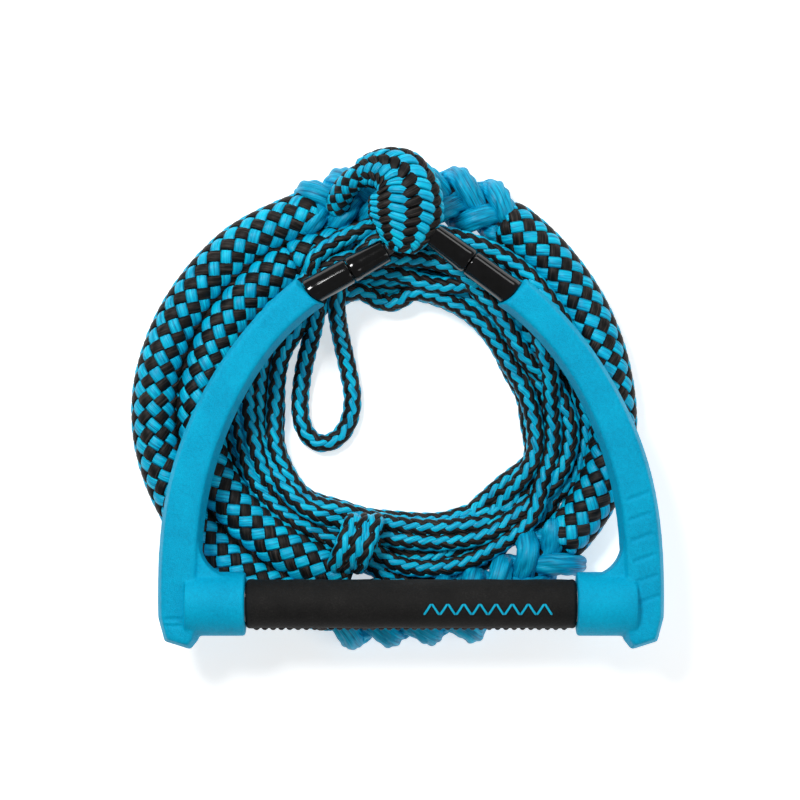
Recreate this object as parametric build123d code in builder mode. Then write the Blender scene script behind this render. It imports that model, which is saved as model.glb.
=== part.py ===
"""Tow rope handle resting on its own coiled rope.

Millimetres. The origin is the middle of the bar, +X runs along the bar, +Y from the bar to the
neck of the handle and +Z away from the surface that everything lies on.
"""

import os
from math import pi, radians, tan

from build123d import *

os.makedirs("parts", exist_ok=True)

# ---- Driving dimensions ------------------------------------------------------------------

# Bar
grip_length = 201
grip_diameter = 30
tube_diameter = 22
tube_wall = 1.6
tube_insert = 24  # how far each end of the tube runs into its arm
plug_flange = 3
plug_spigot = 14
plug_fit = 0.05
plug_relief = 0.3  # radial, between the plug's flange and the arm's bore
rope_gap = 0.4  # round the bridle, where the bar turns on it
bar_fit = 0.06  # radial, between the tube and the arm that it turns in
grip_gap = 0.4  # between the grip's end and the arm
grip_edge = 1.2

# Arms
boss_diameter = 39
boss_length = 36
boss_rim = 2.5
arm_depth = 25
arm_draft = 15  # degrees: both faces of an arm are narrower than its middle
arm_edge = 2
gusset_radius = 20
gusset_inset = 28
gusset_depth = 19
channel_gap = 0.3

# Bridle and its sleeves
bridle_diameter = 8
sleeve_wall = 4
sleeve_taper = 0.8
sleeve_gap = 0.2  # round the bridle
sleeve_join = 0.3
sleeve_seat = 3.5  # how deep each lower sleeve sits in its arm
sleeve_lower_share = 0.5
sleeve_edge = 0.9
left_sleeve_top = (-15, 216)
right_sleeve_top = (12.5, 226)

# Neck
splice_width = 45
splice_length = 60
splice_depth = 26
splice_centre = (-6, 247.5, 0)
left_leg_end = (-7, 240)  # where each leg of the bridle ends, inside the splice
right_leg_end = (3, 246)

# Rope
padded_diameter = 29
line_diameter = 10
neck_diameter = 15
coil_rounding = 4
coil_corner = 10
wrap_place = (-34, 35)
wrap_turn_count = 3
wrap_length = 36
wrap_corner = 6
lay_gap = 0.5  # between the coil and what lies on it
meet_gap = 0.3  # where the neck rope meets the turning handle

# ---- Places worked out from the driving dimensions ----------------------------------------

half_grip = grip_length / 2
sleeve_radius = bridle_diameter / 2 + sleeve_gap + sleeve_wall
tube_end = half_grip + grip_gap + tube_insert
bore_end = tube_end + plug_flange + grip_gap
coil_top = -(arm_depth / 2 + line_diameter + lay_gap)
floor = coil_top - padded_diameter
padded_level = floor + padded_diameter / 2
line_level = floor + line_diameter / 2

# ---- Helpers ------------------------------------------------------------------------------


def arc_radii(points, largest=1000):
    """The radius at each corner of a route: as large as its two runs allow."""
    corners = [Vector(*p) for p in points]
    radii = []
    for before, here, after in zip(corners, corners[1:], corners[2:]):
        turn = (here - before).get_angle(after - here)
        shorter = min((here - before).length, (after - here).length)
        radii.append(min(largest, 0.45 * shorter / tan(radians(turn) / 2)))
    return radii


def rope(label, points, diameter, largest=1000):
    """A round rope along straight runs joined by tangent arcs."""
    radii = arc_radii(points, largest)
    with BuildPart() as tube:
        with BuildLine() as route:
            path = FilletPolyline(*points, radius=radii)
        with BuildSketch(path ^ 0):
            Circle(diameter / 2)
        sweep()
    share = tube.part.volume / (pi * diameter**2 / 4 * path.length)
    print(
        f"{label}: radii {[round(r) for r in radii]}, length {path.length:.0f},"
        f" volume {share:.4f} of section x length"
    )
    return tube.part


def finish(part, label):
    """Name a piece and write it out."""
    part.label = label
    export_step(part, f"parts/{label}.step")


def middle(first, second):
    """The point half way between two points."""
    return tuple((a + b) / 2 for a, b in zip(first, second))


def stretch(points, first, last):
    """Part of a route, from the middle of the run before one point to the middle of the run
    after another, so that neighbouring stretches meet face to face."""
    start = middle(points[first - 1], points[first])
    end = middle(points[last], points[last + 1])
    return [start] + points[first : last + 1] + [end]


# ---- Bridle -------------------------------------------------------------------------------

# How far inboard of the boss face each point of an arm's rope channel lies, and its height
# up the handle, from the bar to the arm's upper end.
channel_points = [(-46, 0), (-40, 40), (-33, 80), (-19, 117), (3, 149)]
arm_end = (40.5, 191)  # the middle of the arm's end face
fork_height = 8  # how far above its sleeve each leg turns into the splice
leg_entry = 9  # how deep in the arm the leg turns onto its sleeve's line


def leg_line(side):
    """The middle of the arm's end face, the top of the sleeve, and the way between them."""
    bottom = Vector(side * (half_grip - arm_end[0]), arm_end[1])
    top = Vector(*(left_sleeve_top if side < 0 else right_sleeve_top))
    return bottom, top, (top - bottom).normalized()


def leg_points(side):
    """The bridle from inside the neck splice down one leg to the middle of its arm's foot."""
    bottom, top, way = leg_line(side)
    fork = top + way * fork_height
    inside = Vector(*(left_leg_end if side < 0 else right_leg_end))
    turn_in = bottom - way * leg_entry
    arm = [(side * (half_grip - x), y) for x, y in reversed(channel_points)]
    return [(v.X, v.Y, 0) for v in (inside, fork, turn_in)] + [(x, y, 0) for x, y in arm]


bridle_points = leg_points(-1) + list(reversed(leg_points(1)))
bridle_turn = 16  # the largest radius that the arms' feet leave room for
bridle_rope = rope("bridle_rope", bridle_points, bridle_diameter, bridle_turn)
finish(bridle_rope, "bridle_rope")
bridle_channel = rope(
    "bridle_channel", bridle_points, bridle_diameter + 2 * channel_gap, bridle_turn
)

# ---- Arms ---------------------------------------------------------------------------------

# Offsets inboard of the boss face and heights up the handle, from the end face to the foot.
outer_edge = [(30.5, 199), (-4, 164), (-29.5, 124), (-47.5, 75), (-53.5, 30), (-54, -8)]
inner_edge = [(48.5, 182.5), (20.5, 158), (-2, 124.5), (-20.5, 76), (-26.5, 34)]
foot = [(-50, -23), (-34, -28), (-29, -22)]


def inboard(points):
    """Points of the left arm, given as offsets inboard of its boss face and heights."""
    return [(x - half_grip, y) for x, y in points]


with BuildPart() as arm_blank:
    with BuildSketch():
        with BuildLine():
            outer = Spline(*inboard(outer_edge))
            inner = Spline(*inboard(inner_edge))
            Line(outer @ 0, inner @ 0)
            Polyline(outer @ 1, *inboard(foot), inner @ 1)
        make_face()
    extrude(amount=arm_depth / 2, both=True, taper=arm_draft)
    rims = arm_blank.edges().group_by(Axis.Z)
    fillet(rims[0] + rims[-1], arm_edge)
    boss_face = Plane(
        origin=(-half_grip - grip_gap, 0, 0), x_dir=(0, 1, 0), z_dir=(-1, 0, 0)
    )
    with BuildSketch(boss_face):
        Circle(boss_diameter / 2)
    extrude(amount=boss_length)
    corner_x = -half_grip - gusset_inset
    corner_y = boss_diameter / 2 - boss_rim
    with BuildSketch():
        with BuildLine():
            sides = Polyline(
                (corner_x + gusset_radius, corner_y),
                (corner_x, corner_y),
                (corner_x, corner_y + gusset_radius),
            )
            RadiusArc(sides @ 1, sides @ 0, -gusset_radius)
        make_face()
    extrude(amount=gusset_depth / 2, both=True)
    with BuildSketch(boss_face):
        Circle(tube_diameter / 2 + bar_fit)
    extrude(amount=bore_end - half_grip - grip_gap, mode=Mode.SUBTRACT)


def make_arm(side):
    """One moulded foam arm, with its rope channel and the socket for the lower sleeve."""
    bottom, _, way = leg_line(side)
    with BuildPart() as arm:
        add(arm_blank.part)
        if side > 0:
            mirror(about=Plane.YZ, mode=Mode.REPLACE)
        add(bridle_channel, mode=Mode.SUBTRACT)
        with BuildSketch(Plane(origin=bottom - way * sleeve_seat, z_dir=way)):
            Circle(sleeve_radius + sleeve_taper / 2 + sleeve_join)
        extrude(amount=2 * sleeve_seat + arm_depth / 2, mode=Mode.SUBTRACT)
    return arm.part


finish(make_arm(-1), "left_arm")
finish(make_arm(1), "right_arm")

# ---- Sleeves over the bridle's legs ---------------------------------------------------------


def make_sleeve(side, start, end, lower, upper):
    """One glossy sleeve on a leg, between two distances from the arm's end face."""
    bottom, _, way = leg_line(side)
    across = Plane(origin=bottom + way * start, z_dir=way)
    with BuildPart() as sleeve:
        with BuildSketch(across):
            Circle(lower)
        with BuildSketch(across.offset(end - start)):
            Circle(upper)
        loft()
        fillet(sleeve.edges(), sleeve_edge)
        with BuildSketch(across):
            Circle(bridle_diameter / 2 + sleeve_gap)
        extrude(amount=end - start, mode=Mode.SUBTRACT)
    return sleeve.part


for side, name in ((-1, "left"), (1, "right")):
    bottom, top, _ = leg_line(side)
    whole = (top - bottom).length
    split = whole * sleeve_lower_share
    lower_sleeve = make_sleeve(
        side, sleeve_join - sleeve_seat, split, sleeve_radius + sleeve_taper / 2, sleeve_radius
    )
    finish(lower_sleeve, f"{name}_lower_sleeve")
    upper_sleeve = make_sleeve(
        side, split + sleeve_join, whole, sleeve_radius, sleeve_radius - sleeve_taper
    )
    finish(upper_sleeve, f"{name}_upper_sleeve")

# ---- Neck splice ----------------------------------------------------------------------------

ball = Sphere(splice_length / 2)
egg = scale(ball, by=(splice_width / splice_length, 1, splice_depth / splice_length))
finish(Pos(*splice_centre) * egg, "neck_splice")

# ---- Bar ------------------------------------------------------------------------------------

across_bar = Plane(origin=(-half_grip, 0, 0), x_dir=(0, 1, 0), z_dir=(1, 0, 0))

with BuildPart() as grip:
    with BuildSketch(across_bar):
        Circle(grip_diameter / 2)
    extrude(amount=grip_length)
    fillet(grip.edges(), grip_edge)
    with BuildSketch(across_bar):
        Circle(tube_diameter / 2)
    extrude(amount=grip_length, mode=Mode.SUBTRACT)
finish(grip.part, "grip")

with BuildPart() as bar_tube:
    with BuildSketch(across_bar.offset(half_grip - tube_end)):
        Circle(tube_diameter / 2)
        Circle(tube_diameter / 2 - tube_wall, mode=Mode.SUBTRACT)
    extrude(amount=2 * tube_end)
finish(bar_tube.part, "bar_tube")

for side, name in ((-1, "left"), (1, "right")):
    tube_mouth = Plane(origin=(side * tube_end, 0, 0), x_dir=(0, 1, 0), z_dir=(side, 0, 0))
    with BuildPart() as plug:
        with BuildSketch(tube_mouth):
            Circle(tube_diameter / 2 - plug_relief)
        extrude(amount=plug_flange)
        with BuildSketch(tube_mouth):
            Circle(tube_diameter / 2 - tube_wall - plug_fit)
        extrude(amount=-plug_spigot)
        with BuildSketch(tube_mouth.offset(plug_flange)):
            Circle(bridle_diameter / 2 + rope_gap)
        extrude(amount=-(plug_flange + plug_spigot), mode=Mode.SUBTRACT)
    finish(plug.part, f"{name}_end_plug")

# ---- Padded and knotted rope ------------------------------------------------------------------

# The outer turn, from the top round the left, the bottom and the right.
outer_turn = [
    (x, y, padded_level)
    for x, y in (
        (38, 249), (-22, 257), (-94, 230), (-122, 208), (-148, 172), (-162, 126), (-156, 80),
        (-129, 32), (-80, -2), (-16, -16), (44, -9), (84, 14), (112, 46), (125, 85), (128, 124),
        (114, 177), (78, 225), (38, 249), (-22, 257),
    )
]
# The inner turn, from under the thin line at the right, over the top, to the lower left.
inner_turn = [
    (x, y, padded_level)
    for x, y in (
        (86, 160), (70, 186), (37, 213), (-8, 223), (-52, 216), (-88, 194),
        (-116, 163), (-130, 124), (-127, 85), (-105, 54), (-72, 31),
    )
]

finish(
    rope("padded_left_outer", stretch(outer_turn, 2, 8), padded_diameter),
    "padded_left_outer",
)
finish(
    rope("knotted_bottom", stretch(outer_turn, 9, 11), padded_diameter), "knotted_bottom"
)
finish(
    rope("padded_right_outer", stretch(outer_turn, 12, 16), padded_diameter),
    "padded_right_outer",
)
top_points = [middle(outer_turn[16], outer_turn[17]), outer_turn[17], outer_turn[1]]
top_points += [middle(outer_turn[1], outer_turn[2])]
finish(rope("knotted_top", top_points, padded_diameter), "knotted_top")

inner_start = inner_turn[0:3] + [middle(inner_turn[2], inner_turn[3])]
finish(rope("padded_right_inner", inner_start, padded_diameter), "padded_right_inner")
finish(
    rope("padded_top_inner", stretch(inner_turn, 3, 4), padded_diameter), "padded_top_inner"
)
inner_finish = [middle(inner_turn[4], inner_turn[5])] + inner_turn[5:]
finish(rope("padded_left_inner", inner_finish, padded_diameter), "padded_left_inner")

# ---- Neck rope ---------------------------------------------------------------------------------

splice_side = splice_centre[0] - splice_width / 2 - meet_gap
# Places along the neck rope, each lower by a share of the way down to the padded rope.
neck_points = [
    (splice_side, 266, 0.11 * padded_level),
    (splice_side - 10, 264, 0.21 * padded_level),
    (splice_side - 17, 256, 0.45 * padded_level),
    (splice_side - 20, 246, 0.75 * padded_level),
]
finish(rope("neck_rope", neck_points, neck_diameter), "neck_rope")

# ---- Thin line -----------------------------------------------------------------------------------

coil_outside = [
    (-108, 140), (-108, 92), (-84, 58), (-56, 46), (-48, 18), (0, 4), (50, 17), (82, 40),
    (98, 66), (106, 96), (106, 128), (92, 145), (66, 149), (62, 166), (56, 178), (30, 197),
    (-7, 206), (-45, 200), (-74, 180), (-98, 160),
]
coil_inside = [
    (-46, 186), (12, 187), (44, 162), (74, 104), (60, 75), (0, 56), (-53, 62), (-73, 84),
    (-77, 104), (-75, 150),
]
with BuildPart() as tow_line_coil:
    with BuildSketch(Plane.XY.offset(floor)):
        with BuildLine():
            FilletPolyline(*coil_outside, radius=coil_corner, close=True)
        make_face()
        with BuildLine():
            FilletPolyline(*coil_inside, radius=coil_corner, close=True)
        make_face(mode=Mode.SUBTRACT)
    extrude(amount=coil_top - floor)
    top_rims = tow_line_coil.edges().group_by(Axis.Z)[-1]
    fillet(top_rims, coil_rounding)
finish(tow_line_coil.part, "tow_line_coil")

tail_points = [
    (-46, 192, -34), (-46, 177, -43), (-43, 159, line_level), (-39, 142, line_level),
    (-36, 126, line_level), (-38, 111, line_level), (-46, 99, line_level),
    (-58, 96, line_level), (-67, 104, line_level), (-70, 118, line_level),
    (-69, 133, line_level), (-66, 150, line_level), (-61, 166, line_level),
    (-58, 180, -43), (-57, 193, -34),
]
finish(rope("tail_loop", tail_points, line_diameter), "tail_loop")

# The line's end wrapped round its own coil.
with BuildPart() as wrap_turns:
    with BuildSketch(Plane.XY.offset(coil_top)):
        with Locations(wrap_place):
            RectangleRounded(wrap_turn_count * line_diameter, wrap_length, wrap_corner)
    extrude(amount=line_diameter)
    fillet(wrap_turns.edges().group_by(Axis.Z)[-1], coil_rounding)
finish(wrap_turns.part, "wrap_turns")
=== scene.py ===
"""Looks of the tow rope handle: woven padded rope, braided line, knots, foam arms and grip."""

import math

import bpy
import numpy as np
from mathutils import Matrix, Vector


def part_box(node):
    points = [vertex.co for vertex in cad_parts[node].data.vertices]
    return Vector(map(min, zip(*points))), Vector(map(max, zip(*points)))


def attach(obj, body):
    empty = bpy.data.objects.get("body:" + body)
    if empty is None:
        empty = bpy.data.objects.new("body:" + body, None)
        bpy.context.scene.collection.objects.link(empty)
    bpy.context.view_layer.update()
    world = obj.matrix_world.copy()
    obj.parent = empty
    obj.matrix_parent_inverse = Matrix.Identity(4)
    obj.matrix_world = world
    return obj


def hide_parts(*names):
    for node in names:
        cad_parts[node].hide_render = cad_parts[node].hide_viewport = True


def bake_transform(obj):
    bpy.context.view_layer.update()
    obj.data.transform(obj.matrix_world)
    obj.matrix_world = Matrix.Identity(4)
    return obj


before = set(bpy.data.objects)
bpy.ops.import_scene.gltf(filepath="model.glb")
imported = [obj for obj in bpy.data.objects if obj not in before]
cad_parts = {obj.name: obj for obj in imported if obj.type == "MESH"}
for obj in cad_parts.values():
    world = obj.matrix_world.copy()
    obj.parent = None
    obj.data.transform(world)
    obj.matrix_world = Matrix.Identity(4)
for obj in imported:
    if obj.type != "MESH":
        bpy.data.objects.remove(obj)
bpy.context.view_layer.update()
scene = bpy.context.scene
TAU = 2 * math.pi

# ---- Places and sizes from the frame, in metres -----------------------------------------

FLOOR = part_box("tow_line_coil")[0].z
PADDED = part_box("padded_left_outer")[1].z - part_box("padded_left_outer")[0].z
PADDED_LEVEL = FLOOR + PADDED / 2
HALF_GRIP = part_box("grip")[1].x
GRIP_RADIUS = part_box("grip")[1].z
LINE = 0.010
LINE_LEVEL = FLOOR + LINE / 2
NECK = 0.015

# ---- Camera and lights ---------------------------------------------------------------------

CAMERA_PLACE = (-0.0067, 0.1244, 1.5)
LENS_MM = 110.6
LIT_PLACE = (0, 0.12, 0)
# Each light: its place, its size and its power in watts.
LIGHTS = {
    "key": ((-0.45, 0.65, 1.15), (0.3, 0.3), 12),
    "fill": ((0.85, -0.3, 0.9), (0.6, 0.6), 3.6),
    "back": ((0.3, 1.2, 0.5), (0.9, 0.3), 3),
}


def make_camera():
    """Straight above the handle, a little up the handle from the grip, looking down."""
    data = bpy.data.cameras.new("camera")
    data.sensor_width = 36
    data.lens = LENS_MM
    data.clip_start, data.clip_end = 0.05, 20
    camera = bpy.data.objects.new("camera", data)
    camera.location = CAMERA_PLACE
    scene.collection.objects.link(camera)
    scene.camera = camera


def area_light(name, place, size, power):
    data = bpy.data.lights.new(name, "AREA")
    data.shape = "RECTANGLE"
    data.size, data.size_y = size
    data.energy = power
    light = bpy.data.objects.new(name, data)
    light.location = place
    aim = Vector(LIT_PLACE) - Vector(place)
    light.rotation_euler = aim.to_track_quat("-Z", "Y").to_euler()
    scene.collection.objects.link(light)


def make_studio():
    world = bpy.data.worlds.new("studio")
    world.use_nodes = True
    background = world.node_tree.nodes["Background"]
    background.inputs["Color"].default_value = (1.0, 1.0, 1.0, 1)
    background.inputs["Strength"].default_value = 0.22
    scene.world = world
    scene.view_settings.view_transform = "Standard"
    for name, (place, size, power) in LIGHTS.items():
        area_light(name, place, size, power)


# ---- Shader building -----------------------------------------------------------------------


# Which output of a Texture Coordinate node gives the place on the object.
OBJECT_OUTPUT = 3


class Value:
    """A number that varies over a surface; arithmetic on it adds Math nodes."""

    def __init__(self, finish, socket):
        self.finish = finish
        self.socket = socket

    def maths(self, operation, other):
        return self.finish.node(
            "ShaderNodeMath", {"operation": operation}, {0: self, 1: other}
        )

    def __add__(self, other):
        return self.maths("ADD", other)

    __radd__ = __add__

    def __mul__(self, other):
        return self.maths("MULTIPLY", other)

    __rmul__ = __mul__


class Finish:
    """A material on one Principled shader. Constants are set on the shader itself."""

    def __init__(self, name, **constants):
        self.material = bpy.data.materials.new(name)
        self.material.use_nodes = True
        self.tree = self.material.node_tree
        self.shader = self.tree.nodes["Principled BSDF"]
        for key, constant in constants.items():
            self.shader.inputs[key.replace("_", " ")].default_value = constant

    def node(self, kind, settings=None, inputs=None, output=0):
        """Adds a node, sets it up, feeds its sockets and gives one output."""
        made = self.tree.nodes.new(kind)
        for key, setting in (settings or {}).items():
            if key == "stops":
                self.set_ramp(made.color_ramp, setting)
            else:
                setattr(made, key, setting)
        for key, given in (inputs or {}).items():
            if isinstance(given, Value):
                self.tree.links.new(given.socket, made.inputs[key])
            else:
                made.inputs[key].default_value = given
        return Value(self, made.outputs[output])

    def set_ramp(self, ramp, stops):
        while len(ramp.elements) < len(stops):
            ramp.elements.new(0.5)
        for element, (place, colour) in zip(ramp.elements, stops):
            element.position = place
            element.color = (*colour, 1)

    def ramp(self, value, *stops):
        return self.node("ShaderNodeValToRGB", {"stops": stops}, {0: value})

    def noise(self, vector, scale, detail=4, roughness=0.55):
        return self.node(
            "ShaderNodeTexNoise",
            {},
            {"Vector": vector, "Scale": scale, "Detail": detail, "Roughness": roughness},
        )

    def place(self):
        """Where a point is on the piece, in metres."""
        return self.node("ShaderNodeTexCoord", {}, {}, OBJECT_OUTPUT)

    def along_fibres(self, across, along):
        """The fibre map, stretched: across and along are noise cells per metre."""
        uv = self.node("ShaderNodeUVMap", {"uv_map": "fibres"})
        return self.node(
            "ShaderNodeVectorMath",
            {"operation": "MULTIPLY"},
            {0: uv, 1: (across, along, 1)},
        )

    def bump(self, height, strength, distance):
        return self.node(
            "ShaderNodeBump",
            {},
            {"Height": height, "Strength": strength, "Distance": distance},
        )

    def feed(self, **links):
        for key, value in links.items():
            self.tree.links.new(value.socket, self.shader.inputs[key.replace("_", " ")])
        return self.material


def fibre_finish(name, dark, middle, light, roughness):
    """Yarn: fine filaments that run the length of each ribbon."""
    finish = Finish(name, Specular_IOR_Level=0.22)
    filaments = finish.noise(finish.along_fibres(2600, 90), 1, 3, 0.6)
    bundles = finish.noise(finish.along_fibres(700, 40), 1, 2, 0.5)
    patches = finish.noise(finish.place(), 55, 3)
    shade = filaments * 0.5 + bundles * 0.35 + patches * 0.15
    colour = finish.ramp(shade, (0.36, dark), (0.5, middle), (0.66, light))
    return finish.feed(
        Base_Color=colour,
        Roughness=shade * 0.25 + roughness,
        Normal=finish.bump(filaments * 0.6 + bundles, 0.55, 0.0006),
    )


def foam_finish():
    """Moulded foam: a fine pebbled grain under a satin skin, a little darker in places."""
    finish = Finish("blue_moulded_foam", Specular_IOR_Level=0.09)
    grain = finish.noise(finish.place(), 1500, 3, 0.6)
    pores = finish.noise(finish.place(), 520, 2, 0.5)
    patches = finish.noise(finish.place(), 28, 4, 0.6)
    shade = grain * 0.45 + pores * 0.2 + patches * 0.35
    colour = finish.ramp(
        shade, (0.36, (0.0, 0.30, 0.52)), (0.5, (0.0, 0.40, 0.66)), (0.64, (0.0, 0.49, 0.76))
    )
    return finish.feed(
        Base_Color=colour,
        Roughness=grain * 0.2 + 0.42,
        Normal=finish.bump(grain * 0.8 + pores * 0.5, 0.6, 0.0008),
    )


def grip_finish():
    """Black closed-cell foam with small pores and scuffs."""
    finish = Finish("black_grip_foam", Specular_IOR_Level=0.2)
    pores = finish.noise(finish.place(), 1100, 3, 0.65)
    scuffs = finish.noise(finish.place(), 60, 5, 0.7)
    shade = pores * 0.6 + scuffs * 0.4
    colour = finish.ramp(
        shade, (0.34, (0.004, 0.004, 0.004)), (0.55, (0.011, 0.0105, 0.010)),
        (0.72, (0.026, 0.024, 0.023)),
    )
    return finish.feed(
        Base_Color=colour,
        Roughness=pores * 0.25 + 0.6,
        Normal=finish.bump(pores, 0.5, 0.0007),
    )


def vinyl_finish():
    """Glossy black sleeving with faint flow marks."""
    finish = Finish(
        "gloss_black_sleeve", Coat_Weight=0.35, Coat_Roughness=0.04, Specular_IOR_Level=0.25
    )
    marks = finish.noise(finish.place(), 140, 3)
    colour = finish.ramp(marks, (0.3, (0.001, 0.001, 0.001)), (0.8, (0.004, 0.004, 0.0045)))
    return finish.feed(
        Base_Color=colour,
        Roughness=marks * 0.08 + 0.08,
        Normal=finish.bump(marks, 0.02, 0.0005),
    )


def plain_finish(name, low, high, roughness, scale, **constants):
    """A hidden piece's finish: a slightly uneven colour and roughness."""
    finish = Finish(name, **constants)
    marks = finish.noise(finish.place(), scale, 4)
    return finish.feed(
        Base_Color=finish.ramp(marks, (0.3, low), (0.7, high)),
        Roughness=marks * 0.2 + roughness,
        Normal=finish.bump(marks, 0.15, 0.0004),
    )


BLUE = fibre_finish(
    "blue_yarn", (0.0, 0.13, 0.27), (0.0, 0.46, 0.74), (0.0, 0.80, 1.0), 0.27
)
THREAD = fibre_finish(
    "stitching_thread", (0.0, 0.36, 0.58), (0.0, 0.50, 0.76), (0.02, 0.66, 0.9), 0.4
)
BLUE_TWINE = fibre_finish(
    "blue_twine", (0.0, 0.06, 0.15), (0.0, 0.36, 0.62), (0.005, 0.66, 0.94), 0.30
)
# The black yarn's lightest brown-grey filaments are partly the yarn's own flecks and partly
# painted glints: light off the filaments painted into the colour at random places.
BLACK = fibre_finish(
    "black_yarn", (0.001, 0.001, 0.001), (0.003, 0.003, 0.003), (0.075, 0.062, 0.054), 0.4
)
CORE = plain_finish("core_yarn", (0.001, 0.004, 0.008), (0.002, 0.010, 0.02), 0.75, 300)
FOAM = foam_finish()
GRIP_FOAM = grip_finish()
VINYL = vinyl_finish()
METAL = plain_finish(
    "bar_aluminium", (0.55, 0.56, 0.57), (0.68, 0.69, 0.70), 0.22, 90, Metallic=1.0
)
PLUG = plain_finish("moulded_plug", (0.006, 0.006, 0.007), (0.014, 0.014, 0.015), 0.4, 600)
BLACK_BRAID = plain_finish(
    "bridle_braid", (0.002, 0.002, 0.002), (0.02, 0.019, 0.018), 0.5, 1800
)

# ---- Meshes --------------------------------------------------------------------------------


def make_piece(name, points, faces, materials, slots=None, fibres=None):
    """A mesh object from arrays, with the fibre map where its points have one."""
    mesh = bpy.data.meshes.new(name)
    mesh.from_pydata(points.tolist(), [], faces)
    for material in materials:
        mesh.materials.append(material)
    if slots is not None:
        mesh.polygons.foreach_set("material_index", slots)
    if fibres is not None:
        corners = np.empty(len(mesh.loops), int)
        mesh.loops.foreach_get("vertex_index", corners)
        layer = mesh.uv_layers.new(name="fibres")
        layer.data.foreach_set("uv", fibres[corners].ravel())
    mesh.polygons.foreach_set("use_smooth", np.full(len(mesh.polygons), True))
    mesh.validate()
    mesh.update()
    piece = bpy.data.objects.new(name, mesh)
    scene.collection.objects.link(piece)
    return piece


class Mould:
    """Gathers tubes and ribbons into one mesh."""

    def __init__(self):
        self.points, self.fibres, self.faces, self.slots = [], [], [], []
        self.count = 0

    def skin(self, rings, fibres, slot):
        """A closed tube through rings of points, shaped (rings, points in a ring, 3)."""
        long, round_, _ = rings.shape
        index = np.arange(long * round_).reshape(long, round_) + self.count
        ahead = np.roll(index, -1, axis=1)
        quads = np.stack([index[:-1], ahead[:-1], ahead[1:], index[1:]], axis=-1)
        quads = quads.reshape(-1, 4)
        self.faces += quads.tolist()
        self.faces += [index[0, ::-1].tolist(), index[-1].tolist()]
        self.slots += [slot] * (len(quads) + 2)
        self.points.append(rings.reshape(-1, 3))
        self.fibres.append(fibres.reshape(-1, 2))
        self.count += long * round_

    def piece(self, name, materials):
        return make_piece(
            name,
            np.concatenate(self.points),
            self.faces,
            materials,
            np.array(self.slots, np.int32),
            np.concatenate(self.fibres),
        )


# ---- Routes --------------------------------------------------------------------------------


def smooth_line(points, fineness=12):
    """The smooth line that a route's points control."""
    data = bpy.data.curves.new("route", "CURVE")
    data.dimensions = "3D"
    data.resolution_u = fineness
    spline = data.splines.new("NURBS")
    spline.points.add(len(points) - 1)
    for point, place in zip(spline.points, points):
        point.co = (*place, 1)
    spline.order_u = 3
    spline.use_endpoint_u = True
    route = bpy.data.objects.new("route", data)
    scene.collection.objects.link(route)
    bpy.context.view_layer.update()
    mesh = bpy.data.meshes.new_from_object(route)
    line = np.array([v.co for v in mesh.vertices], float)
    bpy.data.objects.remove(route)
    bpy.data.curves.remove(data)
    bpy.data.meshes.remove(mesh)
    return line


class Route:
    """A line with a steady sense of its sides, read at any distance along it."""

    def __init__(self, line, step=0.001):
        gaps = np.linalg.norm(np.diff(line, axis=0), axis=1)
        line = line[np.concatenate([[True], gaps > 1e-7])]
        gone = np.concatenate([[0], np.cumsum(np.linalg.norm(np.diff(line, axis=0), axis=1))])
        self.length = gone[-1]
        self.s = np.linspace(0, self.length, max(8, round(self.length / step)))
        self.p = np.stack([np.interp(self.s, gone, line[:, i]) for i in range(3)], axis=1)
        ahead = np.gradient(self.p, axis=0)
        ahead /= np.maximum(np.linalg.norm(ahead, axis=-1, keepdims=True), 1e-12)
        side = np.cross(ahead[0], (0, 0, 1.0))
        sides = []
        for direction in ahead:
            side = side - direction * (side @ direction)
            side = side / np.linalg.norm(side)
            sides.append(side)
        self.side = np.array(sides)
        self.up = np.cross(self.side, ahead)
        self.ahead = ahead

    def nearest(self, x, y):
        """How far along the line passes closest to a place on the plan."""
        return float(self.s[np.argmin(np.hypot(self.p[:, 0] - x, self.p[:, 1] - y))])

    def part(self, start, end):
        """A stretch of the same line."""
        inside = (self.s > start) & (self.s < end)
        ends = [[np.interp(s, self.s, self.p[:, i]) for i in range(3)] for s in (start, end)]
        return Route(np.concatenate([ends[:1], self.p[inside], ends[1:]]))

    def then(self, following):
        """This line and the one that goes on from its end, as one."""
        return Route(np.concatenate([self.p, following.p[1:]]))

    def around(self, s, angle, out, wide=1.0, deep=1.0):
        """Points at a distance along, an angle round and a distance out from the line."""
        beyond = s - np.clip(s, 0, self.length)
        read = [
            np.stack([np.interp(s, self.s, a[:, i]) for i in range(3)], axis=-1)
            for a in (self.p, self.side, self.up, self.ahead)
        ]
        place, side, up, ahead = read
        return (
            place
            + ahead * beyond[..., None]
            + side * (out * wide * np.cos(angle))[..., None]
            + up * (out * deep * np.sin(angle))[..., None]
        )


def eased(share):
    share = np.clip(share, 0, 1)
    return share * share * (3 - 2 * share)


def tucked(route, radius, tuck, least=0.72):
    """A radius along a route that narrows over its two ends."""

    def at(s):
        near = np.minimum(s, route.length - s) / tuck
        return radius * (least + (1 - least) * np.sqrt(np.clip(near, 0, 1)))

    return at


def core(mould, route, radius, slot, wide, deep):
    """The dark filling that a woven cover lies on."""
    s = np.linspace(0, route.length, max(6, round(route.length / 0.004)))
    angle = np.linspace(0, TAU, 16, endpoint=False)
    grid_s, grid_a = np.meshgrid(s, angle, indexing="ij")
    rings = route.around(grid_s, grid_a, radius(grid_s), wide(grid_s), deep(grid_s))
    mould.skin(rings, np.stack([grid_a * 0.01, grid_s], axis=-1), slot)


def one(s):
    return np.ones_like(s)


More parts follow.
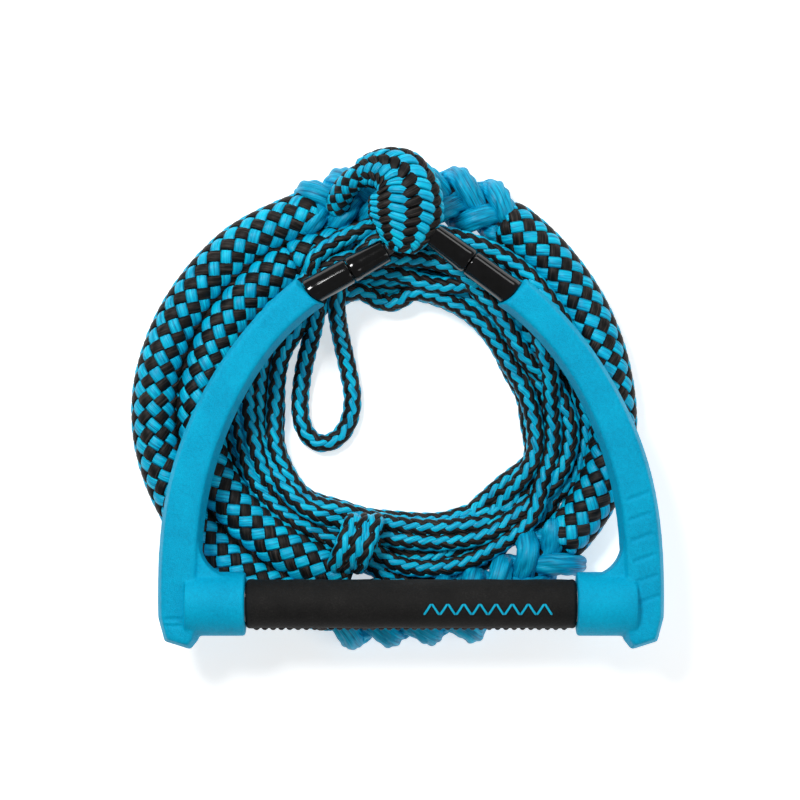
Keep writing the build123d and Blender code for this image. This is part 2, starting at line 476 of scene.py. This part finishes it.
def weave(
    mould, route, radius, strands, pitch, lift, thick, fill, crown, seed, over=1, steps=6,
    wide=one, deep=one, filled=True,
):
    """A braided tubular cover: two families of ribbons, one turning each way. Each goes over
    as many of the other family as it then goes under. lift, thick and crown are shares of the
    radius, and fill is the share of the cover that one family would fill."""
    random = np.random.default_rng(seed)
    big = float(np.max(radius(route.s)))
    if filled:
        core(mould, route, lambda s: radius(s) * (1 - lift - 0.8 * thick), 2, wide, deep)
    crossing = pitch / (2 * strands)
    s = np.linspace(0, route.length, max(6, round(route.length / crossing * steps)))
    slant = math.atan2(TAU * big, pitch)
    width = fill * TAU * big / strands * math.cos(slant)
    across = np.array([-0.5, -0.31, 0, 0.31, 0.5, 0]) * width
    height = np.array([-0.45, 0.62, 1, 0.62, -0.45, -1])
    for hand, slot in ((1, 0), (-1, 1)):
        for strand in range(strands):
            wander = random.uniform(0, TAU, 3)
            sway = 0.03 * np.sin(s / pitch * TAU * 0.61 + wander[0])
            swell = 1 + 0.06 * np.sin(s / pitch * TAU * 1.7 + wander[1])
            angle = TAU * (strand / strands) + hand * TAU * s / pitch + sway
            u = across[None, :] * swell[:, None]
            at = np.clip(s[:, None] - hand * u * math.sin(slant), 0, route.length)
            turned = angle[:, None] + u * math.cos(slant) / big
            beat = (hand * s / crossing + 2 * strand - (over - 1) / 2) / over
            wave = hand * np.clip(1.3 * np.cos(math.pi * beat), -1, 1)[:, None]
            out = radius(at) * (1 + lift * wave)
            out = out + big * np.where(height > 0, crown, thick)[None, :] * height[None, :] * 0.5
            rings = route.around(at, turned, out, wide(at), deep(at))
            fibres = np.stack(
                [u + 0.05 * strand + wander[2], np.broadcast_to(s[:, None], u.shape)], axis=-1
            )
            mould.skin(rings, fibres, slot)


# ---- Padded and knotted rope ---------------------------------------------------------------

# Routes on the plan.
OUTER_TURN = [
    (-0.058, 0.2435), (-0.094, 0.230), (-0.122, 0.208), (-0.148, 0.172), (-0.162, 0.126),
    (-0.156, 0.080), (-0.129, 0.032), (-0.080, -0.001), (-0.016, -0.012), (0.044, -0.005),
    (0.078, 0.020), (0.108, 0.050), (0.125, 0.085), (0.128, 0.124), (0.114, 0.177),
    (0.078, 0.225), (0.038, 0.249), (-0.022, 0.257), (-0.058, 0.2435),
]
INNER_TURN = [
    (0.086, 0.160), (0.070, 0.186), (0.037, 0.213), (-0.008, 0.224), (-0.055, 0.220),
    (-0.096, 0.198), (-0.122, 0.165), (-0.134, 0.124), (-0.129, 0.083), (-0.106, 0.050),
    (-0.074, 0.026), (-0.038, 0.011),
]
# Where the knotted stretches begin and end, and how far they reach into their neighbours.
LOW_KNOT = (-0.048, -0.009), (0.098, 0.030)
HIGH_KNOT = (0.058, 0.237)
KNOT_OVERLAP = 0.004
# Where the inner rope passes under the neck.
INNER_RIGHT, INNER_LEFT = (0.0145, 0.218), (-0.070, 0.205)
# The radius of a knotted strand, and its reach on the turn's inner side as a share of the outer.
KNOT_STRAND = 0.0074
INNER_SIDE = 0.88


def rope_part(piece, node):
    """A piece of the rope, in place of its frame node."""
    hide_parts(node)
    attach(piece, "coil")
    return piece


def padded_cover(node, route, seed, tuck=0.006):
    """The black and blue cover over a padded stretch."""
    mould = Mould()
    radius = tucked(route, PADDED / 2 * 0.965, tuck, 0.86)
    weave(
        mould, route, radius, 8, 0.086, lift=0.045, thick=0.08, fill=0.96, seed=seed,
        crown=0.075, filled=False,
    )
    return rope_part(mould.piece(node + "_cover", [BLUE, BLACK, CORE]), node)


def yarn_bundle(mould, route, radius, yarns, turn):
    """A soft strand of yarns that lie side by side and twist slowly round each other."""
    s = np.linspace(0, route.length, max(8, round(route.length / 0.0012)))
    angle = np.linspace(0, TAU, 8 * yarns, endpoint=False)
    grid_s, grid_a = np.meshgrid(s, angle, indexing="ij")
    crease = np.abs(np.cos(yarns / 2 * (grid_a + grid_s * turn)))
    ripple = 1 + 0.035 * np.sin(grid_s * 700 + 3 * grid_a) + 0.03 * np.sin(grid_s * 260 + grid_a)
    out = radius(grid_s) * (0.8 + 0.2 * crease**0.55) * ripple
    rings = route.around(grid_s, grid_a, out)
    mould.skin(rings, np.stack([grid_a * 0.006, grid_s], axis=-1), 0)


def chain_of_knots(node, route, seed, spacing, reach, curl):
    """Three fat strands that loop over each other, with a scalloped edge on both sides. Reach
    is how far their middles go out, and curl how much they gather into lumps there."""
    mould = Mould()
    count = max(3, round(route.length / spacing))
    period = 3 * route.length / count
    s = np.linspace(0, route.length, max(12, round(route.length / 0.0015)))
    random = np.random.default_rng(seed)
    for strand in range(3):
        drift = random.uniform(0, TAU, 2)
        phase = TAU * (s / period + strand / 3)
        aside = reach * np.sin(phase) * (1 + 0.14 * np.sin(s * 90 + drift[0]))
        aside = np.where(aside > 0, aside, aside * INNER_SIDE)
        above = (PADDED / 2 - KNOT_STRAND) * 1.05 * np.sin(2 * phase + 0.2)
        along = s + curl * np.sin(2 * phase)
        line = route.around(along, np.zeros_like(s), aside)
        line = line + np.array([0, 0, 1]) * above[:, None]
        strand_route = Route(line)
        radius = tucked(strand_route, KNOT_STRAND, 0.006, 0.5)
        yarn_bundle(mould, strand_route, radius, 6, 70 + 40 * math.sin(drift[1]))
    return rope_part(mould.piece(node + "_chain", [BLUE_TWINE]), node)


def thick_core(name, route, knots, covers):
    """The filling that runs the whole thick rope, slimmer where the rope is knotted."""
    mould = Mould()

    def radius(s):
        slim = np.zeros_like(s)
        for start, end in knots:
            before, after = (s - start) / 0.006 + 0.8, (end - s) / 0.006 + 0.8
            slim = np.maximum(slim, eased(before) * eased(after))
        ends = eased(s / 0.012) * eased((route.length - s) / 0.012)
        return PADDED / 2 * (0.86 - 0.36 * slim) * (0.35 + 0.65 * ends)

    core(mould, route, radius, 0, one, one)
    piece = mould.piece(name, [CORE])
    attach(piece, "coil")


def make_thick_rope():
    """One rope: an outer turn with two knotted stretches, and part of a turn inside it."""
    outer = Route(smooth_line([(x, y, PADDED_LEVEL) for x, y in OUTER_TURN]))
    low_knot = outer.nearest(*LOW_KNOT[0]), outer.nearest(*LOW_KNOT[1])
    high_knot = outer.nearest(*HIGH_KNOT), outer.length
    thick_core(
        "outer_rope_core",
        outer,
        (low_knot, high_knot),
        [
            padded_cover("padded_left_outer", outer.part(0, low_knot[0]), 11),
            chain_of_knots(
                "knotted_bottom",
                outer.part(low_knot[0] - KNOT_OVERLAP, low_knot[1] + KNOT_OVERLAP),
                seed=13, spacing=0.0235, reach=0.0152, curl=0.0038,
            ),
            padded_cover("padded_right_outer", outer.part(low_knot[1], high_knot[0]), 12),
            chain_of_knots(
                "knotted_top",
                outer.part(high_knot[0] - KNOT_OVERLAP, high_knot[1]).then(
                    outer.part(0, 0.009)
                ),
                seed=14, spacing=0.0205, reach=0.0128, curl=0.0020,
            ),
        ],
    )
    inner = Route(smooth_line([(x, y, PADDED_LEVEL) for x, y in INNER_TURN]))
    right, left = inner.nearest(*INNER_RIGHT), inner.nearest(*INNER_LEFT)
    thick_core(
        "inner_rope_core",
        inner,
        (),
        [
            padded_cover("padded_right_inner", inner.part(0, right), 15),
            padded_cover("padded_top_inner", inner.part(right, left), 16, tuck=0.001),
            padded_cover("padded_left_inner", inner.part(left, inner.length), 17),
        ],
    )
    return outer, inner


# ---- Thin line -----------------------------------------------------------------------------

COIL_CENTRE = (-0.007, 0.124)
# The coil's inner and outer edges in millimetres, from +X round towards +Y, sixteen to the turn.
INNER_EDGE = [75, 66, 65, 64, 64, 69, 72, 74, 72, 78, 80, 71, 69, 73, 77, 86]
OUTER_EDGE = [123, 104, 86, 84, 84, 86, 91, 103, 110, 113, 106, 106, 118, 122, 126, 128]
# How far the upper turns climb onto the padded rope there, from 0 to 1.
CLIMB = [0.2, 0.6, 1, 1, 1, 1, 1, 0.5, 0, 0, 0.3, 0, 0, 0, 0, 0.1]
# Slack bights that hang into the middle: turn, angle as a share of a turn, depth, half width.
SLACK = [(5, 0.262, 0.015, 0.026), (9, 0.196, 0.012, 0.024), (6, 0.330, 0.007, 0.025)]
# Where each turn lies: across the coil from its inner edge, and its height over the floor.
LOW_TURNS = [(0.5, 0.0), (0.05, 0.0), (0.95, 0.0), (0.25, 0.009), (0.75, 0.009)]
TOP_TURNS = [(0.02, 0.019), (0.95, 0.020), (0.36, 0.021), (0.66, 0.023), (0.60, 0.026)]
# How much of the last turn is laid, and how many points there are to a turn.
LAST_SHARE = 0.21
PER_TURN = 72
# How much farther out the line lies where it climbs onto the padded rope, and how much higher.
CLIMB_OUT, CLIMB_UP = 0.026, 0.006
# The highest that the line's middle may lie: under the arms, and near the grip.
ROOF, ROOF_BY_GRIP, GRIP_SIDE = -0.0178, -0.0232, 0.024
# Each round of settling: how far the line sinks, how strongly it keeps its place, how stiff it is.
SINK, HOLD, STIFFNESS = 0.0005, 0.05, 0.3
# The line's end: a bight laid back on itself on the padded rope, tucked under the splice.
BIGHT = [
    (-0.012, 0.2125, -0.020), (-0.024, 0.2135, -0.020), (-0.037, 0.2120, -0.020),
    (-0.050, 0.2080, -0.020), (-0.061, 0.2030, -0.021), (-0.069, 0.2030, -0.021),
    (-0.072, 0.2090, -0.020), (-0.067, 0.2145, -0.0185), (-0.058, 0.2190, -0.018),
    (-0.048, 0.2225, -0.018), (-0.036, 0.2250, -0.018), (-0.024, 0.2275, -0.0185),
    (-0.012, 0.2300, -0.022), (0.000, 0.2320, -0.029),
]


def read_round(values, turn):
    """A value round the coil at a number of turns, from a list of stations."""
    stations = len(values)
    place = (turn % 1) * stations
    low = int(place) % stations
    share = float(eased(place - int(place)))
    return values[low] * (1 - share) + values[(low + 1) % stations] * share


def coil_points():
    """The coiled line's route, turn by turn: low in the coil, then on top of it."""
    random = np.random.default_rng(5)
    turns = [(*t, 0) for t in LOW_TURNS] + [(*t, 1) for t in TOP_TURNS]
    points = []
    for turn, (here, following) in enumerate(zip(turns, turns[1:] + turns[-1:])):
        wave = random.uniform(0, TAU, 3)
        last = turn == len(turns) - 1
        for k in range(round(PER_TURN * LAST_SHARE) if last else PER_TURN):
            around = turn + k / PER_TURN
            share = float(eased((k / PER_TURN - 0.7) / 0.3))
            across, height, top = (
                a * (1 - share) + b * share for a, b in zip(here, following)
            )
            climb = read_round(CLIMB, around) * top
            inner = read_round(INNER_EDGE, around) / 1000 + 0.0052
            outer = read_round(OUTER_EDGE, around) / 1000 - 0.0052 + CLIMB_OUT * climb
            across += top * 0.16 * math.sin(TAU * around * 2 + wave[0])
            across += 0.10 * math.sin(TAU * around * 3 + wave[1])
            out = inner + (outer - inner) * min(max(across, 0), 1)
            for slack_turn, place, depth, wide in SLACK:
                if turn == slack_turn:
                    bight = math.exp(-(((k / PER_TURN - place) / wide) ** 2))
                    out = out * (1 - bight) + (inner - depth) * bight
            up = LINE_LEVEL + height + CLIMB_UP * climb
            points.append(
                (
                    COIL_CENTRE[0] + out * math.cos(TAU * around),
                    COIL_CENTRE[1] + out * math.sin(TAU * around),
                    up,
                )
            )
    return np.array(points)


def settle(points, solids, rounds=140):
    """Lets the turns push each other apart and sink until they lie on one another. Solids are
    rows of x, y, z and how near the line's middle may come."""
    start = points.copy()
    count = len(points)
    places = np.arange(count)
    apart = np.abs(places[:, None] - places[None, :]) > 5
    near = LINE * 0.95
    around = np.arctan2(start[:, 1] - COIL_CENTRE[1], start[:, 0] - COIL_CENTRE[0]) / TAU
    hole = np.array([read_round(INNER_EDGE, a) for a in around]) / 1000 + 0.0055
    hole = np.minimum(hole, np.hypot(*(start[:, :2] - COIL_CENTRE).T))
    for _ in range(rounds):
        points[:, 2] -= SINK
        for _ in range(2):
            gap = points[:, None, :] - points[None, :, :]
            far = np.linalg.norm(gap, axis=2)
            touching = (far < near) & apart
            push = np.where(touching, (near - far) / np.maximum(far, 1e-6) * 0.5, 0)
            moved = (gap * push[:, :, None]).sum(axis=1)
            points = points + moved / np.maximum(touching.sum(axis=1), 1)[:, None] * 0.9
            gap = points[:, None, :] - solids[None, :, :3]
            far = np.linalg.norm(gap, axis=2)
            push = np.maximum(solids[None, :, 3] - far, 0)
            worst = np.argmax(push, axis=1)
            rows = np.arange(count)
            depth = push[rows, worst] / np.maximum(far[rows, worst], 1e-6)
            points = points + gap[rows, worst] * depth[:, None]
        points[:, :2] += (start[:, :2] - points[:, :2]) * HOLD
        spoke = points[:, :2] - COIL_CENTRE
        reach = np.hypot(spoke[:, 0], spoke[:, 1])
        points[:, :2] += spoke * (np.maximum(hole - reach, 0) / reach)[:, None]
        bend = 0.5 * (points[:-2] + points[2:]) - points[1:-1]
        points[1:-1] += bend * STIFFNESS
        roof = np.where(points[:, 1] < GRIP_SIDE, ROOF_BY_GRIP, ROOF)
        points[:, 2] = np.clip(points[:, 2], LINE_LEVEL, roof)
    return points


def thin_line(node, points, seed):
    """A stretch of the braided line, sixteen yarns that lie long and wavy."""
    route = Route(smooth_line(points, 6))
    mould = Mould()
    radius = tucked(route, LINE / 2 * 0.95, 0.004, 0.5)
    weave(
        mould, route, radius, 8, 0.070, over=2, lift=0.09, thick=0.16, fill=1.22, steps=2.8,
        seed=seed, crown=0.30,
    )
    piece = rope_part(mould.piece(node + "_braid", [BLUE, BLACK, CORE]), node)


TAIL_POINTS = [
    (-0.041, 0.206, -0.033), (-0.044, 0.198, -0.024), (-0.046, 0.189, -0.020),
    (-0.046, 0.177, -0.028), (-0.043, 0.160, -0.043), (-0.039, 0.142, LINE_LEVEL),
    (-0.036, 0.126, LINE_LEVEL), (-0.038, 0.111, LINE_LEVEL), (-0.046, 0.099, LINE_LEVEL),
    (-0.058, 0.096, LINE_LEVEL), (-0.067, 0.104, LINE_LEVEL), (-0.070, 0.118, LINE_LEVEL),
    (-0.069, 0.133, LINE_LEVEL), (-0.066, 0.150, -0.043), (-0.061, 0.166, -0.034),
    (-0.058, 0.180, -0.024), (-0.056, 0.191, -0.020), (-0.054, 0.200, -0.025),
    (-0.052, 0.208, -0.035),
]


def wrap_points():
    """Three turns of the line round the upper part of the coil, near the grip."""
    low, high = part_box("wrap_turns")
    middle_y, half_y = (low.y + high.y) / 2, (high.y - low.y) / 2 - LINE * 0.4
    turns, per_turn = 3, 14
    points = []
    for k in range(turns * per_turn + 1):
        angle = TAU * (k / per_turn - 0.45)
        share = k / (turns * per_turn)
        across = low.x + LINE * 0.45 + (high.x - low.x - LINE * 0.9) * share
        lean = 0.004 * math.sin(angle)
        high_arc = -0.0285 + 0.0115 * math.cos(angle)
        points.append((across + lean, middle_y + half_y * math.sin(angle), high_arc))
    return points


def make_thin_line(thick_routes):
    solids = [
        np.column_stack([r.p[::5], np.full(len(r.p[::5]), (PADDED + LINE) / 2 * 0.97)])
        for r in thick_routes
    ]
    points = settle(np.concatenate([coil_points(), BIGHT]), np.concatenate(solids))
    thin_line("tow_line_coil", points, 21)
    thin_line("tail_loop", TAIL_POINTS, 22)
    thin_line("wrap_turns", wrap_points(), 23)


# ---- Neck ----------------------------------------------------------------------------------

SPLICE_POINTS = [
    (-0.006, 0.215, 0.001), (-0.003, 0.230, 0.003), (-0.003, 0.248, 0.004),
    (-0.007, 0.261, 0.002), (-0.020, 0.2665, -0.002), (-0.030, 0.263, -0.006),
]
# Half the splice's width and height, at shares of its length.
SPLICE_STATIONS = [0, 0.12, 0.3, 0.5, 0.68, 0.85, 1]
SPLICE_WIDE = [0.008, 0.0155, 0.0215, 0.021, 0.0175, 0.012, 0.0085]
SPLICE_DEEP = [0.007, 0.0105, 0.0125, 0.0125, 0.0115, 0.010, 0.0085]
SPLICE_RADIUS = 0.018


def make_splice():
    """The woven splice over the bridle."""
    route = Route(smooth_line(SPLICE_POINTS), 0.0005)
    mould = Mould()
    stations = np.array(SPLICE_STATIONS) * route.length

    def wide(s):
        return np.interp(s, stations, SPLICE_WIDE) / SPLICE_RADIUS

    def deep(s):
        return np.interp(s, stations, SPLICE_DEEP) / SPLICE_RADIUS

    def radius(s):
        return SPLICE_RADIUS * one(s)

    weave(
        mould, route, radius, 7, 0.037, lift=0.055, thick=0.1, fill=0.97, steps=8,
        wide=wide, deep=deep, seed=31, crown=0.08,
    )
    splice = mould.piece("neck_splice_cover", [BLUE, BLACK, CORE])
    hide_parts("neck_splice")
    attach(splice, "handle")


def make_neck_rope():
    """The rope that bends from the splice down to the coil."""
    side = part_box("neck_rope")[1].x
    points = [
        (side + 0.006, 0.2635, -0.0035), (side - 0.004, 0.2625, -0.0055),
        (side - 0.012, 0.258, -0.012), (side - 0.018, 0.250, -0.020),
        (side - 0.020, 0.243, -0.030),
    ]
    route = Route(smooth_line(points), 0.0005)
    mould = Mould()
    weave(
        mould, route, tucked(route, NECK / 2 * 0.96, 0.003, 0.8), 6, 0.044, lift=0.05,
        thick=0.1, fill=0.95, steps=5, seed=32, crown=0.1,
    )
    rope = mould.piece("neck_rope_cover", [BLUE, BLACK, CORE])
    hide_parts("neck_rope")
    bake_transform(rope)


# ---- Arms, sleeves, grip and bridle --------------------------------------------------------

# Bars pressed into the face of each arm: middle of each, half length, half width.
RIGHT_MARKS = [((0.1372 + 0.0013 * k, 0.0660 - 0.0125 * k), 0.0058, 0.0011) for k in range(6)]
LEFT_MARKS = [((-0.1440, -0.0085), 0.0042, 0.0010), ((-0.1440, -0.0125), 0.0042, 0.0010)]


def press_marks(mesh, side):
    """Presses shallow bars into the arm's face."""
    points = np.empty(len(mesh.vertices) * 3)
    mesh.vertices.foreach_get("co", points)
    points = points.reshape(-1, 3)
    face = eased((points[:, 2] - 0.006) / 0.004)
    marks, tilt = (RIGHT_MARKS, 0.35) if side == "right" else (LEFT_MARKS, 0.0)
    for (x, y), long, wide in marks:
        aside, above = points[:, 0] - x, points[:, 1] - y
        along = aside * math.cos(tilt) + above * math.sin(tilt)
        across = above * math.cos(tilt) - aside * math.sin(tilt)
        off = np.hypot(np.maximum(np.abs(along) - long, 0), across)
        points[:, 2] -= 0.0008 * face * eased((wide + 0.0006 - off) / 0.0009)
    mesh.vertices.foreach_set("co", points.ravel())
    mesh.update()


def moulded_arm(side):
    """The foam arm: the frame's shape with every edge softened, as it leaves its mould."""
    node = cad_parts[f"{side}_arm"]
    mesh = node.data.copy()
    piece = bpy.data.objects.new(f"{side}_arm_foam", mesh)
    scene.collection.objects.link(piece)
    remesh = piece.modifiers.new("remesh", "REMESH")
    remesh.mode = "VOXEL"
    remesh.voxel_size = 0.0009
    remesh.use_smooth_shade = True
    soften = piece.modifiers.new("soften", "SMOOTH")
    soften.factor = 0.5
    soften.iterations = 9
    bpy.context.view_layer.update()
    made = bpy.data.meshes.new_from_object(
        piece.evaluated_get(bpy.context.evaluated_depsgraph_get())
    )
    piece.modifiers.clear()
    piece.data = made
    made.materials.clear()
    made.materials.append(FOAM)
    made.polygons.foreach_set("use_smooth", np.full(len(made.polygons), True))
    press_marks(made, side)
    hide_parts(f"{side}_arm")
    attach(piece, "handle")


def turned(mould, start, end, profile, around=72):
    """A turned shape between two places. The profile is rows of distance and radius."""
    start, end = np.array(start, float), np.array(end, float)
    axis = (end - start) / np.linalg.norm(end - start)
    side = np.cross(axis, (0, 0, 1.0))
    side /= np.linalg.norm(side)
    up = np.cross(side, axis)
    profile = np.array(profile)
    angle = np.linspace(0, TAU, around, endpoint=False)
    ring = np.cos(angle)[:, None] * side + np.sin(angle)[:, None] * up
    rings = start + profile[:, :1, None] * axis + profile[:, 1:, None] * ring
    rings = rings.reshape(len(profile), around, 3)
    fibres = np.stack(np.meshgrid(profile[:, 0], angle * 0.01, indexing="ij"), axis=-1)
    mould.skin(rings, fibres, 0)


def rounded_profile(start, end, low, high, edge, bead=0.0):
    """A tube with rounded ends, a little fuller at its first end."""
    rows = [(start, low * 0.55)]
    for k in range(7):
        turn = math.pi / 2 * k / 6
        rows.append((start + edge * (1 - math.sin(turn)), low - edge * (1 - math.cos(turn))))
    rows = rows[:1] + sorted(rows[1:])
    for k in range(1, 12):
        share = k / 12
        fuller = bead * math.exp(-(((share - 0.08) / 0.06) ** 2))
        rows.append(
            (start + edge + (end - start - 2 * edge) * share, low + (high - low) * share + fuller)
        )
    for k in range(7):
        turn = math.pi / 2 * k / 6
        rows.append((end - edge * (1 - math.sin(turn)), high - edge * (1 - math.cos(turn))))
    return rows + [(end, high * 0.55)]


# Each leg of the bridle that shows: from the arm's end to the splice.
LEGS = {
    "left": ((-0.0600, 0.1910, 0), (-0.0150, 0.2160, 0)),
    "right": ((0.0600, 0.1910, 0), (0.0125, 0.2260, 0)),
}


def make_sleeves():
    """Two glossy sleeves over each leg of the bridle."""
    for side, (foot, top) in LEGS.items():
        long = float(np.linalg.norm(np.subtract(top, foot)))
        split = long * 0.5
        halves = {
            "lower": rounded_profile(-0.0032, split, 0.0086, 0.0082, 0.0011, 0.00025),
            "upper": rounded_profile(split + 0.0003, long, 0.0082, 0.0074, 0.0013, 0.00025),
        }
        for half, profile in halves.items():
            mould = Mould()
            turned(mould, foot, top, profile)
            piece = mould.piece(f"{side}_{half}_sleeve_skin", [VINYL])
            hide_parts(f"{side}_{half}_sleeve")
            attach(piece, "handle")


def thread(mould, points, radius, slot):
    """A thin round thread through points."""
    route = Route(np.array(points, float), 0.0004)
    angle = np.linspace(0, TAU, 8, endpoint=False)
    s = np.linspace(0, route.length, max(5, round(route.length / 0.0006)))
    grid_s, grid_a = np.meshgrid(s, angle, indexing="ij")
    ends = np.minimum(grid_s, route.length - grid_s) / radius
    out = radius * np.sqrt(np.clip(ends, 0.05, 1))
    rings = route.around(grid_s, grid_a, out)
    mould.skin(rings, np.stack([grid_a * 0.002, grid_s], axis=-1), slot)


def on_grip(x, angle, out):
    """A place on the grip: along the bar, and round it from the top towards the arms' feet."""
    return (x, -out * math.sin(angle), out * math.cos(angle))


# The end of the grip that the lacing and the surface waves leave plain.
GRIP_END = 0.004
# The lacing: where it runs round the bar, how many stitches, and how far each leans.
SEAM, STITCHES, LEAN = math.radians(99), 38, 0.19
# The stitched wave: where it starts and ends along the bar, its waves, and its two sides.
WAVE_START, WAVE_END, WAVES = 0.0075, 0.0855, 8
WAVE_HIGH, WAVE_LOW = -0.10, 0.40


def grip_body(mould):
    """The foam itself: a tube that is very slightly uneven."""
    rows = rounded_profile(-HALF_GRIP, HALF_GRIP, GRIP_RADIUS, GRIP_RADIUS, 0.0022)
    body = [row for row in rows if abs(row[0]) > HALF_GRIP - 0.0023]
    for x in np.linspace(-HALF_GRIP + GRIP_END, HALF_GRIP - GRIP_END, 240):
        swell = 0.00012 * math.sin(x * 170) + 0.00008 * math.sin(x * 431)
        body.append((float(x), GRIP_RADIUS - 0.0001 + swell))
    turned(mould, (0, 0, 0), (1, 0, 0), sorted(body), around=120)


def grip_lacing(mould):
    """A row of short slanted stitches that close the foam."""
    gap = (2 * HALF_GRIP - 2 * GRIP_END) / STITCHES
    for k in range(STITCHES):
        x = -HALF_GRIP + GRIP_END + gap * (k + 0.5)
        stitch = [
            on_grip(
                x + gap * (share - 0.5) * 0.75,
                SEAM + LEAN * (share - 0.5) * 2,
                GRIP_RADIUS - 0.0006 + 0.0013 * math.sin(math.pi * share),
            )
            for share in np.linspace(0, 1, 9)
        ]
        thread(mould, stitch, 0.0008, 1)


def grip_wave(mould):
    """A plain wave stitched on the grip's face, a stitch to each slope."""
    step = (WAVE_END - WAVE_START) / (WAVES * 2)
    for k in range(WAVES * 2):
        first = WAVE_START + step * k
        start, end = (WAVE_HIGH, WAVE_LOW) if k % 2 else (WAVE_LOW, WAVE_HIGH)
        line = [
            on_grip(
                first + step * share,
                start + (end - start) * share,
                GRIP_RADIUS - 0.0001 + 0.0004 * math.sin(math.pi * share),
            )
            for share in np.linspace(0.04, 0.96, 7)
        ]
        thread(mould, line, 0.0007, 2)


def make_grip():
    """The foam grip, laced shut along its underside, with a stitched wave on its face."""
    mould = Mould()
    grip_body(mould)
    grip_lacing(mould)
    grip_wave(mould)
    piece = mould.piece("grip_foam", [GRIP_FOAM, BLACK, THREAD])
    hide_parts("grip")
    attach(piece, "bar")


def paint_node(name, material):
    """Gives a frame node its finish."""
    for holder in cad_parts[name].material_slots:
        holder.material = material


def make_floor():
    """A pale floor that the coil rests on."""
    size = 3.0
    points = np.array([(-size, -size, 0), (size, -size, 0), (size, size, 0), (-size, size, 0)])
    points[:, 2] = FLOOR - 0.0005
    finish = Finish(
        "pale_floor", Roughness=0.9, Specular_IOR_Level=0.1,
        Emission_Color=(1, 1, 1, 1), Emission_Strength=0.55,
    )
    marks = finish.noise(finish.place(), 3)
    finish.feed(
        Base_Color=finish.ramp(marks, (0.2, (0.86, 0.86, 0.86)), (0.8, (0.9, 0.9, 0.9)))
    )
    floor = make_piece("floor", points, [(0, 1, 2, 3)], [finish.material])


# ---- The whole -----------------------------------------------------------------------------

make_camera()
make_studio()
make_splice()
make_neck_rope()
make_thin_line(make_thick_rope())
for side in ("left", "right"):
    moulded_arm(side)
    paint_node(f"{side}_end_plug", PLUG)
make_sleeves()
make_grip()
paint_node("bar_tube", METAL)
paint_node("bridle_rope", BLACK_BRAID)
make_floor()
